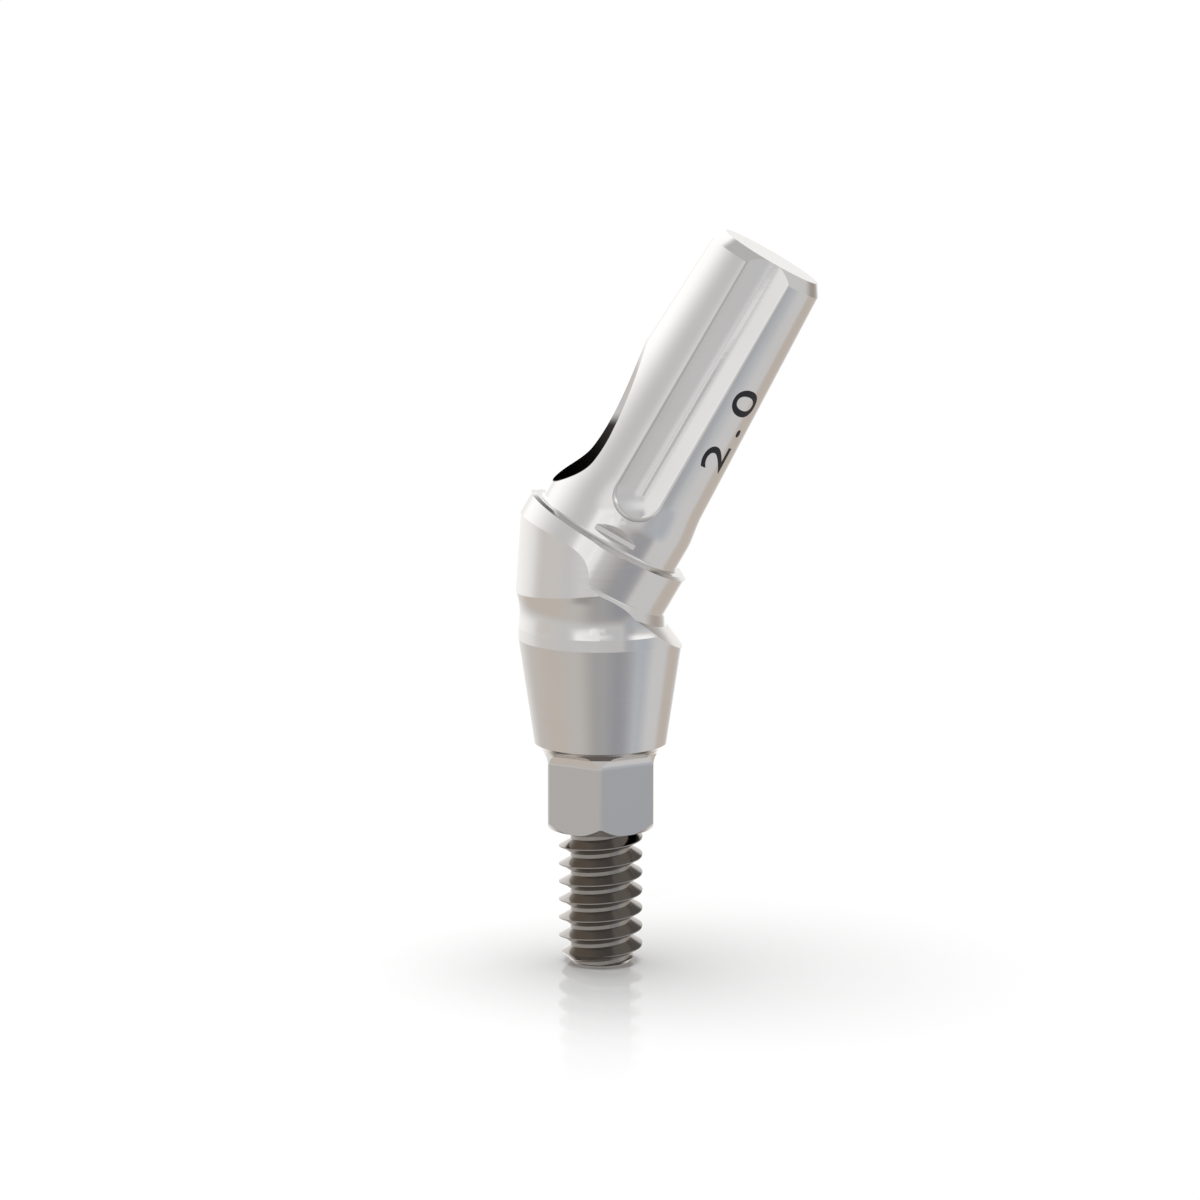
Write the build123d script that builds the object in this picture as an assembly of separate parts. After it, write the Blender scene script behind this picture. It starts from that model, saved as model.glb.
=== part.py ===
from build123d import *
import os
from math import asin, ceil, cos, degrees, radians, sin, sqrt, tan

# A two-piece angled abutment for a tooth implant: a machined titanium body and the screw that
# holds it down. The body has a hexagon and a cone that fit the implant, a waisted neck, and a
# tapered post that leans over to one side to carry the crown. The screw channel stays upright, so
# it breaks out through the side of the post that it leans away from.
# Lengths are in millimetres and angles in degrees. Z is the implant's axis, z = 0 is the plane of
# the cone's rim, and the post leans towards +X.

# Cone and hexagon that sit in the implant
rim_radius = 1.575
cone_half_angle = 8.6
cone_length = 2.02
cone_edge_chamfer = 0.05
hex_across_flats = 2.00
hex_stock_radius = 1.14
hex_stock_top = -2.17
hex_face_top = -2.35
hex_root_radius = 0.27
hex_end = -3.665
hex_end_radius = 1.005
hex_end_angle = 41.0

# Neck above the rim
rim_height = 0.22
waist_radius = 1.55
waist_height = 0.48
neck_flare_radius = 1.28
neck_flare_reach = 0.90

# Round side of the body above the neck: it leans a little the same way as the post
wall_radius = 1.715
wall_lean = 3.8
wall_offset = 0.12
wall_offset_height = 1.29

# Collar and shoulder, measured along the post's own axis from the shoulder
tilt = 30.0
bend_height = 1.70
shoulder_rise = 0.34
collar_radius = 1.68
collar_length = 0.80
collar_root_radius = 0.05
flare_radius = 1.80
flare_drop = 0.978
flare_angle = 24.0
lip_chamfer = 0.035

# Post
foot_radius = 1.44
foot_fillet = 0.06
foot_length = 0.72
step_length = 0.44
cone_foot_radius = 1.36
post_half_angle = 2.6
post_length = 6.065
top_chamfer_length = 0.225
top_chamfer_angle = 34.0

# Side grooves and notches of the post
groove_width = 1.03
groove_depth = 0.152
groove_floor_radius = 2.5
groove_corner_radius = 0.12
groove_start = 0.60
notch_height = 0.238
notch_length = 0.84
notch_upper_side = 0.142
notch_floor = 0.09
notch_lower_side = 0.045

# Screw
thread_radius = 0.80
thread_pitch = 0.35
thread_flank_angle = 30.0
thread_core_radius = 0.575
thread_crest_width = 0.02
thread_top = -3.45
thread_runout = 0.20
thread_crest_height = -4.225
screw_tip = -6.30
tip_radius = 0.55
tip_angle = 45.0
shank_radius = 0.55
seat_height = -1.00
seat_half_angle = 45.0
head_radius = 0.87
head_length = 1.50
head_chamfer = 0.06
socket_across_flats = 1.20
socket_depth = 1.10

# Clearances between the screw and the body
head_clearance = 0.03
thread_clearance = 0.02
seat_clearance = 0.01

# Worked out from the sizes above
lean = radians(tilt)
cone_end_radius = rim_radius - cone_length * tan(radians(cone_half_angle))
shoulder_offset = shoulder_rise * sin(lean)
shoulder_height = bend_height + shoulder_rise * cos(lean)
post_cone_start = foot_length + step_length
channel_radius = head_radius + head_clearance
bore_radius = thread_radius + thread_clearance

# How far a cutting or trimming solid reaches past what it cuts
spare = 1.0

# The post's own frame: x lies in the shoulder and y points up the post
post_plane = Plane(
    origin=(shoulder_offset, 0, shoulder_height),
    x_dir=(cos(lean), 0, -sin(lean)),
    z_dir=(0, -1, 0),
)
post_axis = Axis((shoulder_offset, 0, shoulder_height), (sin(lean), 0, cos(lean)))


def turned(outline, plane=Plane.XZ, axis=Axis.Z):
    """The solid that a closed half section sweeps when it is turned about an axis."""
    return revolve(make_face([plane * edge for edge in outline]), axis=axis)


def straight(*points):
    """Straight edges from point to point."""
    return [Line(start, end) for start, end in zip(points, points[1:])]


def post_radius(height):
    """Radius of the post's cone at a height above the shoulder."""
    return cone_foot_radius - (height - post_cone_start) * tan(radians(post_half_angle))


def upright_blank():
    """Cone, rim and waisted neck, turned about the implant's axis, with stock above the neck."""
    rise = rim_radius - waist_radius
    reach = waist_height - rim_height
    rim_arc_radius = (rise**2 + reach**2) / (2 * rise)
    rim_turn = degrees(asin(reach / rim_arc_radius))
    rim_centre = (waist_radius + rim_arc_radius, waist_height)
    rim_arc = CenterArc(rim_centre, rim_arc_radius, 180 + rim_turn, -rim_turn)

    flare_turn = degrees(asin(neck_flare_reach / neck_flare_radius))
    flare_centre = (waist_radius + neck_flare_radius, waist_height)
    flare = CenterArc(flare_centre, neck_flare_radius, 180, -flare_turn)

    stock_radius = wall_radius + spare
    stock_top = shoulder_height + collar_radius + spare
    return turned(
        [rim_arc, flare]
        + straight((0, -cone_length), (cone_end_radius, -cone_length), (rim_radius, 0), rim_arc @ 0)
        + straight(
            flare @ 1,
            (stock_radius, (flare @ 1).Y),
            (stock_radius, stock_top),
            (0, stock_top),
            (0, -cone_length),
        )
    )


def upper_wall():
    """Leaning cylinder that bounds the body above the neck."""
    slope = radians(wall_lean)
    middle = Plane(
        origin=(wall_offset, 0, wall_offset_height),
        x_dir=(cos(slope), 0, -sin(slope)),
        z_dir=(sin(slope), 0, cos(slope)),
    )
    reach = wall_offset_height + cone_length + wall_radius
    return middle * Cylinder(wall_radius, 2 * reach)


def collar_envelope():
    """What the cut about the post's axis leaves: the collar, and all that lies under its flare."""
    far = collar_radius + wall_radius + spare
    far_drop = flare_drop + (far - flare_radius) * tan(radians(flare_angle))
    bottom = shoulder_height + cone_length + far
    corner = (collar_radius, -collar_length)
    outline = Polyline(
        (0, 0),
        (collar_radius - lip_chamfer, 0),
        (collar_radius, -lip_chamfer),
        corner,
        (flare_radius, -flare_drop),
        (far, -far_drop),
        (far, -bottom),
        (0, -bottom),
        close=True,
    )
    section = make_face(outline)
    root = section.vertices().sort_by_distance(corner)[0]
    section = fillet(root, collar_root_radius)
    return revolve(post_plane * section, axis=post_axis)


def post():
    """Post turned about its own axis: foot, short step, long cone and chamfered flat top."""
    buried = collar_length / 2
    fillet_top = (foot_radius, foot_fillet)
    foot = CenterArc((foot_radius + foot_fillet, foot_fillet), foot_fillet, 270, -90)
    cone_foot = (cone_foot_radius, post_cone_start)
    cone_direction = (-tan(radians(post_half_angle)), 1)
    step = Spline((foot_radius, foot_length), cone_foot, tangents=[(0, 1), cone_direction])
    chamfer_foot = post_length - top_chamfer_length
    chamfer_radius = post_radius(chamfer_foot)
    top_radius = chamfer_radius - top_chamfer_length * tan(radians(top_chamfer_angle))
    return turned(
        [foot, step]
        + straight(fillet_top, step @ 0)
        + straight(
            step @ 1,
            (chamfer_radius, chamfer_foot),
            (top_radius, post_length),
            (0, post_length),
            (0, -buried),
            (foot_radius + foot_fillet, -buried),
            foot @ 0,
        ),
        post_plane,
        post_axis,
    )


def groove_cutter():
    """Round-ended scallop along the front of the post's cone, left by a large form cutter."""
    end_height = groove_start + groove_width / 2
    slope = radians(post_half_angle)
    along = post_plane.y_dir * cos(slope) + Vector(0, 1, 0) * sin(slope)
    end_centre = post_plane.from_local_coords((0, end_height, post_radius(end_height)))
    across = Plane(origin=end_centre, x_dir=post_plane.x_dir, z_dir=along)
    stock = Pos(0, groove_depth - spare) * Rectangle(groove_width, 2 * spare)
    section = stock & Pos(0, groove_depth - groove_floor_radius) * Circle(groove_floor_radius)
    corners = section.vertices().group_by(Axis.Y)[-1]
    section = fillet(corners, groove_corner_radius)
    half = section & Pos(groove_width / 2, 0) * Rectangle(groove_width, 4 * spare)
    run = extrude(across * section, post_length + spare - end_height, dir=along)
    end = revolve(across * half, axis=Axis(end_centre, across.y_dir))
    return run + end


def notch_cutter():
    """Four-sided bar across the front of the post's foot, with its narrow flat inwards."""
    depth = foot_radius - sqrt(foot_radius**2 - (notch_length / 2) ** 2)
    growth = (depth + spare) / depth
    inner = foot_radius - depth
    outer = foot_radius + spare
    outline = Polyline(
        (inner, 0),
        (outer, notch_upper_side * growth),
        (outer, -notch_floor - notch_lower_side * growth),
        (inner, -notch_floor),
        close=True,
    )
    origin = post_plane.from_local_coords((notch_length, notch_height, 0))
    plane = Plane(origin=origin, x_dir=(0, -1, 0), z_dir=-post_plane.x_dir)
    return extrude(plane * make_face(outline), 2 * notch_length)


def flat_cutter():
    """Sweep of a milling cutter along one flat of the hexagon, its inner top corner rounded."""
    face = hex_across_flats / 2
    top = hex_face_top + hex_root_radius
    height = top + spare - hex_end
    section = Pos(face + spare / 2, top - height / 2) * Rectangle(spare, height)
    corner = section.vertices().sort_by_distance((face, top))[0]
    section = fillet(corner, hex_root_radius)
    return extrude(Plane.XZ * section, hex_stock_radius, both=True)


def hexagon():
    """Anti-rotation hexagon with a corner to the front, milled from round stock."""
    end_rise = (hex_stock_radius - hex_end_radius) / tan(radians(hex_end_angle))
    stock = turned(
        straight(
            (0, hex_end),
            (hex_end_radius, hex_end),
            (hex_stock_radius, hex_end + end_rise),
            (hex_stock_radius, hex_stock_top),
            (cone_end_radius - cone_edge_chamfer, -cone_length - cone_edge_chamfer),
            (cone_end_radius, -cone_length),
            (0, -cone_length),
            (0, hex_end),
        )
    )
    cutter = flat_cutter()
    return stock - [Rot(0, 0, turn) * cutter for turn in range(0, 360, 60)]


def screw_channel():
    """Screw channel: wide for the head, a conical seat, and a closer bore down to the hexagon."""
    seat_drop = (channel_radius - bore_radius) / tan(radians(seat_half_angle))
    top = shoulder_height + post_length + spare
    return turned(
        straight(
            (0, hex_end - spare),
            (bore_radius, hex_end - spare),
            (bore_radius, seat_height - seat_drop),
            (channel_radius, seat_height),
            (channel_radius, top),
            (0, top),
            (0, hex_end - spare),
        )
    )


def abutment_body():
    """The machined body, from the hexagon to the top of the post."""
    lower = upright_blank() & upper_wall() & collar_envelope()
    groove = groove_cutter()
    notch = notch_cutter()
    body = lower + post() + hexagon()
    body -= [groove, notch, mirror(groove, Plane.XZ), mirror(notch, Plane.XZ)]
    return body - screw_channel()


def thread_ridge():
    """Ridge of the thread, longer than the threaded length at both ends."""
    flank = tan(radians(thread_flank_angle))
    crest = thread_crest_width / 2
    root = crest + (thread_radius - shank_radius) * flank
    turns_below = ceil((thread_crest_height - screw_tip) / thread_pitch) + 1
    turns_above = ceil((thread_top - thread_crest_height) / thread_pitch) + 1
    start = thread_crest_height - turns_below * thread_pitch
    length = (turns_below + turns_above) * thread_pitch
    path = Helix(thread_pitch, length, thread_core_radius, (0, 0, start))
    crest_path = Helix(thread_pitch, length, thread_radius, (0, 0, start))
    outline = Polyline(
        (shank_radius, -root),
        (thread_radius, -crest),
        (thread_radius, crest),
        (shank_radius, root),
        close=True,
    )
    section = Plane.XZ * Pos(0, start) * make_face(outline)
    return sweep(section, path=path, binormal=crest_path)


def threaded_end():
    """Core and ridge of the thread, both trimmed to the chamfered tip and the run-out."""
    length = thread_top - screw_tip
    core = Pos(0, 0, screw_tip + length / 2) * Cylinder(thread_core_radius, length)
    tip_rise = (thread_radius - tip_radius) / tan(radians(tip_angle))
    envelope = turned(
        straight(
            (0, screw_tip),
            (tip_radius, screw_tip),
            (thread_radius, screw_tip + tip_rise),
            (thread_radius, thread_top - thread_runout),
            (thread_core_radius, thread_top),
            (0, thread_top),
            (0, screw_tip),
        )
    )
    return (core & envelope) + (thread_ridge() & envelope)


def abutment_screw():
    """The screw: head with a hexagon socket, conical underside, slim shank and thread."""
    seat_slope = tan(radians(seat_half_angle))
    underside_top = seat_height + seat_clearance - head_clearance / seat_slope
    underside_foot = underside_top - (head_radius - shank_radius) / seat_slope
    head_top = underside_top + head_length
    blank = turned(
        straight(
            (0, thread_top - spare),
            (shank_radius, thread_top - spare),
            (shank_radius, underside_foot),
            (head_radius, underside_top),
            (head_radius, head_top - head_chamfer),
            (head_radius - head_chamfer, head_top),
            (0, head_top),
            (0, thread_top - spare),
        )
    )
    socket_section = RegularPolygon(socket_across_flats / 2, 6, major_radius=False)
    socket = extrude(Pos(0, 0, head_top - socket_depth) * socket_section, socket_depth + spare)
    return threaded_end() + blank - socket


if __name__ == "__main__":
    os.makedirs("parts", exist_ok=True)
    export_step(abutment_body(), "parts/abutment_body.step")
    export_step(abutment_screw(), "parts/abutment_screw.step")
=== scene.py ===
import math

import bmesh
import bpy
import numpy as np
from mathutils import Matrix, Vector


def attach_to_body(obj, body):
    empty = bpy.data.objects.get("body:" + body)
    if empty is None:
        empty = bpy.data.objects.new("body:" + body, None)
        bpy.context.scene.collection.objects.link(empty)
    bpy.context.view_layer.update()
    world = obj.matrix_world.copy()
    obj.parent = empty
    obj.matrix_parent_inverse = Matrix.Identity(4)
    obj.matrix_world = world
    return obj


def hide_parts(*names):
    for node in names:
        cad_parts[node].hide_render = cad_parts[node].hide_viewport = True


# The looks of the angled abutment. Each of its two turned and milled pieces is made again from
# the sizes of the part's source as a fine mesh with exact normals, so that the polished metal
# reflects cleanly. Sizes are in millimetres until a mesh is finished, and in metres from there.

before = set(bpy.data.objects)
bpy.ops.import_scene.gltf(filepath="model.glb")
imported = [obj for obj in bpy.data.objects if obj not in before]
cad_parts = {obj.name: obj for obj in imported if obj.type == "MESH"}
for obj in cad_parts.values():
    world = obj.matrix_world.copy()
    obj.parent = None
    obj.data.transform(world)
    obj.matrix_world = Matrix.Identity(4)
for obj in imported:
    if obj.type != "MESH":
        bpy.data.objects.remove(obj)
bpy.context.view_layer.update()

MM = 0.001

# Body: cone, hexagon and neck
RIM_RADIUS = 1.575
CONE_HALF_ANGLE = 8.6
CONE_LENGTH = 2.02
CONE_EDGE_CHAMFER = 0.05
HEX_ACROSS_FLATS = 2.00
HEX_STOCK_RADIUS = 1.14
HEX_STOCK_TOP = -2.17
HEX_FACE_TOP = -2.35
HEX_ROOT_RADIUS = 0.27
HEX_END = -3.665
HEX_END_RADIUS = 1.005
HEX_END_ANGLE = 41.0
RIM_HEIGHT = 0.22
WAIST_RADIUS = 1.55
WAIST_HEIGHT = 0.48
NECK_FLARE_RADIUS = 1.28
NECK_FLARE_REACH = 0.90

# Body: wall, collar and post
WALL_RADIUS = 1.715
WALL_LEAN = 3.8
WALL_OFFSET = 0.12
WALL_OFFSET_HEIGHT = 1.29
TILT = 30.0
BEND_HEIGHT = 1.70
SHOULDER_RISE = 0.34
COLLAR_RADIUS = 1.68
COLLAR_LENGTH = 0.80
COLLAR_ROOT_RADIUS = 0.05
FLARE_RADIUS = 1.80
FLARE_DROP = 0.978
FLARE_ANGLE = 24.0
LIP_WIDTH = 0.09
LIP_DROP = 0.042
FOOT_RADIUS = 1.44
FOOT_FILLET = 0.06
FOOT_LENGTH = 0.45
STEP_LENGTH = 0.71
CONE_FOOT_RADIUS = 1.36
POST_HALF_ANGLE = 2.6
POST_LENGTH = 6.065
TOP_CHAMFER_LENGTH = 0.225
TOP_CHAMFER_ANGLE = 34.0

# Body: grooves, notches and channel
GROOVE_WIDTH = 1.03
GROOVE_DEPTH = 0.152
GROOVE_FLOOR_RADIUS = 2.5
GROOVE_CORNER_RADIUS = 0.12
GROOVE_START = 0.60
NOTCH_HEIGHT = 0.238
NOTCH_LENGTH = 0.84
NOTCH_UPPER_SIDE = 0.142
NOTCH_FLOOR = 0.09
NOTCH_LOWER_SIDE = 0.045
CHANNEL_RADIUS = 0.90
BORE_RADIUS = 0.82

# Screw
THREAD_RADIUS = 0.80
THREAD_PITCH = 0.35
THREAD_FLANK_ANGLE = 30.0
THREAD_CORE_RADIUS = 0.575
THREAD_CREST_WIDTH = 0.02
THREAD_TOP = -3.45
THREAD_RUNOUT = 0.20
THREAD_CREST_HEIGHT = -4.225
SCREW_TIP = -6.30
TIP_RADIUS = 0.55
TIP_ANGLE = 45.0
SHANK_RADIUS = 0.55
SEAT_HEIGHT = -1.00
SEAT_CLEARANCE = 0.01
HEAD_RADIUS = 0.87
HEAD_LENGTH = 1.50
HEAD_CHAMFER = 0.06
HEAD_CLEARANCE = 0.03
SOCKET_ACROSS_FLATS = 1.20
SOCKET_DEPTH = 1.10

# Turned metal: how the noise of its rings is squeezed, its detail and the rings' depth, and the
# scale, detail and middle range of the noise of its stains and gloss
RING_SCALE = (900, 900, 9000)
RING_DETAIL = 3.0
RING_DEPTH = 0.004
CLOUD_SCALE = 700.0
CLOUD_DETAIL = 4.0
CLOUD_RANGE = (0.3, 0.7)

# Milled faces of the hexagon: their colour, darkened as painted shade, how much more matt they are,
# their fine grain, and how softly they begin
MILLED_SHADE_COLOUR = (0.62, 0.605, 0.59)
MILLED_ROUGHNESS = 0.14
MILLED_GRAIN = 0.03
MILLED_BLUR = 0.02

# Painted shade in the screw channel: the heights between which it is painted dark as shade, its colour
# there, how much more matt it is, and how far past its wall the painted shade reaches and fades
BORE_SHADE_HEIGHTS = (4.2, 3.9)
BORE_SHADE_COLOUR = (0.06, 0.055, 0.05)
BORE_ROUGHNESS = 0.30
BORE_MARGIN = 0.006
BORE_BLUR = 0.004

# Number marked on the post: where it stands there, how far it stands out of the surface and
# reaches into it, how far from the post's axis its letters are made before they are cut to the
# surface, and the letters' extra stroke and spacing
MARK_TEXT = "2.0"
MARK_HEIGHT = 0.64
MARK_START = 2.10
MARK_SPAN = 1.68
MARK_AZIMUTH = 45.5
MARK_PROUD = 0.003
MARK_DEPTH = 0.03
MARK_MIDDLE = 1.3
MARK_STROKE = 0.005
MARK_SPACING = 1.25

# How finely round forms are divided, and how far a cutter reaches past what it cuts
TURN_STEPS = 288
ARC_STEP = 3.0
BLEND_STEPS = 16
SPARE = 1.0

# How far the thread's ridge sinks into the core, and how far the core stops short of the thread
RIDGE_OVERLAP = 0.02
CORE_STEP = 0.001

# A face belongs to a surface if it lies this near to it and looks this much the same way
NORMAL_TOLERANCE = 0.004
NORMAL_MATCH = 0.94
SMALL = 1e-6

LEAN = math.radians(TILT)
SHOULDER = Vector((SHOULDER_RISE * math.sin(LEAN), 0, BEND_HEIGHT + SHOULDER_RISE * math.cos(LEAN)))
POST_DIRECTION = Vector((math.sin(LEAN), 0, math.cos(LEAN)))
POST_ACROSS = Vector((math.cos(LEAN), 0, -math.sin(LEAN)))
POST_CONE_START = FOOT_LENGTH + STEP_LENGTH
Z_AXIS = Vector((0, 0, 1))
ORIGIN = Vector((0, 0, 0))


class Surface:
    """A surface swept by a line or an arc of a half section that turns about an axis."""

    def __init__(self, origin, axis, start, end, centre=None):
        self.origin = np.array(origin, float)
        self.axis = np.array(Vector(axis).normalized(), float)
        self.start = np.array(start, float)
        self.end = np.array(end, float)
        self.centre = None if centre is None else np.array(centre, float)

    def look(self, points):
        """Distance of each point from the surface, and the surface's normal there."""
        rel = points - self.origin
        height = rel @ self.axis
        radial = rel - height[:, None] * self.axis
        radius = np.linalg.norm(radial, axis=1)
        radial = radial / np.maximum(radius, 1e-9)[:, None]
        flat = np.stack([radius, height], axis=1)
        if self.centre is None:
            along = (self.end - self.start) / np.linalg.norm(self.end - self.start)
            normal = np.array([along[1], -along[0]])
            rel = flat - self.start
            distance = np.abs(rel @ normal)
            past = np.maximum(-(rel @ along), rel @ along - np.linalg.norm(self.end - self.start))
            distance = np.maximum(distance, past)
            normal = np.repeat(normal[None], len(points), axis=0)
        else:
            arm = flat - self.centre
            length = np.linalg.norm(arm, axis=1)
            distance = np.abs(length - np.linalg.norm(self.start - self.centre))
            normal = arm / np.maximum(length, 1e-9)[:, None]
        return distance, normal[:, :1] * radial + normal[:, 1:] * self.axis


class Flank:
    """A side of the thread: a line of the section that turns and climbs by the pitch."""

    def __init__(self, height, slope):
        self.height = height
        self.slope = slope

    def look(self, points):
        """Distance of each point from the flank, and the flank's normal there."""
        radius = np.maximum(np.linalg.norm(points[:, :2], axis=1), 1e-9)
        turn = np.arctan2(points[:, 1], points[:, 0]) / (2 * math.pi)
        gap = points[:, 2] - self.height - turn * THREAD_PITCH - self.slope * radius
        gap = (gap + THREAD_PITCH / 2) % THREAD_PITCH - THREAD_PITCH / 2
        out = points[:, :2] / radius[:, None]
        climb = THREAD_PITCH / (2 * math.pi) / radius
        normal = np.stack(
            [
                -self.slope * out[:, 0] + climb * out[:, 1],
                -self.slope * out[:, 1] - climb * out[:, 0],
                np.ones(len(points)),
            ],
            axis=1,
        )
        normal /= np.linalg.norm(normal, axis=1)[:, None]
        outside = np.maximum(THREAD_CORE_RADIUS - radius, radius - THREAD_RADIUS)
        return np.maximum(np.abs(gap) * abs(normal[0, 2]), outside), normal


def arc(centre, radius, start, sweep):
    """Points of an arc in a half section, and the arc's centre."""
    count = max(2, math.ceil(abs(sweep) / ARC_STEP))
    turns = [math.radians(start + sweep * i / count) for i in range(count + 1)]
    points = [(centre[0] + radius * math.cos(t), centre[1] + radius * math.sin(t)) for t in turns]
    return points, centre


def line(*points):
    """Points of straight runs in a half section."""
    return list(points), None


def mesh_object(name, vertices, faces):
    """A new object of these vertices and faces."""
    mesh = bpy.data.meshes.new(name)
    mesh.from_pydata([tuple(v) for v in vertices], [], faces)
    mesh.update()
    made = bpy.data.objects.new(name, mesh)
    bpy.context.scene.collection.objects.link(made)
    return made


def outward(made):
    """Turns an object's faces so that they all look outwards."""
    work = bmesh.new()
    work.from_mesh(made.data)
    bmesh.ops.remove_doubles(work, verts=work.verts, dist=SMALL)
    bmesh.ops.recalc_face_normals(work, faces=work.faces)
    work.to_mesh(made.data)
    work.free()
    return made


def turned(name, runs, surfaces, origin=ORIGIN, axis=Z_AXIS, across=None):
    """Solid of a closed half section turned about an axis. The section is runs from line and arc."""
    section = []
    for points, centre in runs:
        for start, end in zip(points, points[1:]):
            if max(start[0], end[0]) > SMALL:
                surfaces.append(Surface(origin, axis, start, end, centre))
        section += points
    kept = [p for i, p in enumerate(section) if math.dist(p, section[i - 1]) > SMALL]
    axis = Vector(axis).normalized()
    first = Vector(across if across else (1, 0, 0))
    first = (first - axis * first.dot(axis)).normalized()
    second = axis.cross(first)
    vertices, rings = [], []
    for radius, height in kept:
        middle = origin + axis * height
        if radius < SMALL:
            rings.append([len(vertices)] * TURN_STEPS)
            vertices.append(middle)
            continue
        rings.append([len(vertices) + i for i in range(TURN_STEPS)])
        for i in range(TURN_STEPS):
            turn = 2 * math.pi * i / TURN_STEPS
            vertices.append(middle + radius * (first * math.cos(turn) + second * math.sin(turn)))
    faces = []
    for ring, after in zip(rings, rings[1:] + rings[:1]):
        for i in range(TURN_STEPS):
            j = (i + 1) % TURN_STEPS
            face = list(dict.fromkeys((ring[i], ring[j], after[j], after[i])))
            if len(face) > 2:
                faces.append(face)
    return outward(mesh_object(name, vertices, faces))


def prism(name, outline, origin, x_axis, y_axis, length):
    """Solid of a flat outline, pushed along the normal of its plane by a length."""
    normal = Vector(x_axis).cross(Vector(y_axis)).normalized()
    low = [origin + Vector(x_axis) * x + Vector(y_axis) * y for x, y in outline]
    high = [p + normal * length for p in low]
    count = len(outline)
    faces = [list(range(count)), list(range(count, 2 * count))]
    faces += [[i, (i + 1) % count, count + (i + 1) % count, count + i] for i in range(count)]
    return outward(mesh_object(name, low + high, faces))


def combine(base, operation, *others):
    """Joins, cuts or intersects the base with other solids, and removes those."""
    for other in others:
        modifier = base.modifiers.new("cut", "BOOLEAN")
        modifier.operation = operation
        modifier.solver = "MANIFOLD"
        modifier.object = other
        depsgraph = bpy.context.evaluated_depsgraph_get()
        mesh = bpy.data.meshes.new_from_object(base.evaluated_get(depsgraph))
        base.modifiers.remove(modifier)
        base.data = mesh
        bpy.data.objects.remove(other)
    return base


def mirrored(made, name):
    """A copy of a solid on the other side of the plane of the lean."""
    mesh = made.data.copy()
    mesh.transform(Matrix.Diagonal((1, -1, 1, 1)))
    copy = bpy.data.objects.new(name, mesh)
    bpy.context.scene.collection.objects.link(copy)
    return outward(copy)


def set_normals(made, surfaces):
    """Gives each corner of each face the normal of the surface that the face lies on."""
    mesh = made.data
    count = len(mesh.polygons)
    centres = np.empty(count * 3)
    flats = np.empty(count * 3)
    mesh.polygons.foreach_get("center", centres)
    mesh.polygons.foreach_get("normal", flats)
    centres, flats = centres.reshape(-1, 3), flats.reshape(-1, 3)
    best = np.full(count, NORMAL_MATCH)
    owner = np.full(count, -1)
    for index, surface in enumerate(surfaces):
        distance, normal = surface.look(centres)
        match = np.abs(np.einsum("ij,ij->i", normal, flats))
        better = (distance < NORMAL_TOLERANCE) & (match > best)
        best[better] = match[better]
        owner[better] = index
    places = np.empty(len(mesh.vertices) * 3)
    mesh.vertices.foreach_get("co", places)
    places = places.reshape(-1, 3)
    corners = np.empty(len(mesh.loops), int)
    mesh.loops.foreach_get("vertex_index", corners)
    totals = np.empty(count, int)
    mesh.polygons.foreach_get("loop_total", totals)
    face_of = np.repeat(np.arange(count), totals)
    normals = flats[face_of].copy()
    for index, surface in enumerate(surfaces):
        chosen = owner[face_of] == index
        if chosen.any():
            exact = surface.look(places[corners[chosen]])[1]
            side = np.sign(np.einsum("ij,ij->i", exact, flats[face_of[chosen]]))
            normals[chosen] = exact * side[:, None]
    mesh.polygons.foreach_set("use_smooth", np.ones(count, bool))
    mesh.normals_split_custom_set(normals.tolist())
    print(made.name, "faces", count, "with no exact surface", int((owner < 0).sum()))


def to_metres(made):
    """Scales a finished mesh from millimetres to metres."""
    made.data.transform(Matrix.Scale(MM, 4))
    made.data.update()
    return made


def post_radius(height):
    """Radius of the post's cone at a height above the shoulder."""
    return CONE_FOOT_RADIUS - (height - POST_CONE_START) * math.tan(math.radians(POST_HALF_ANGLE))


def blend_curve(start, end, start_slope, end_slope):
    """Points of a smooth curve between two points of a half section, with given directions."""
    span = math.dist(start, end)
    points = []
    for i in range(BLEND_STEPS + 1):
        t = i / BLEND_STEPS
        h0, h1 = 2 * t**3 - 3 * t**2 + 1, t**3 - 2 * t**2 + t
        h2, h3 = -2 * t**3 + 3 * t**2, t**3 - t**2
        points.append(
            tuple(
                h0 * start[k] + h1 * span * start_slope[k] + h2 * end[k] + h3 * span * end_slope[k]
                for k in (0, 1)
            )
        )
    return points


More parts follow.
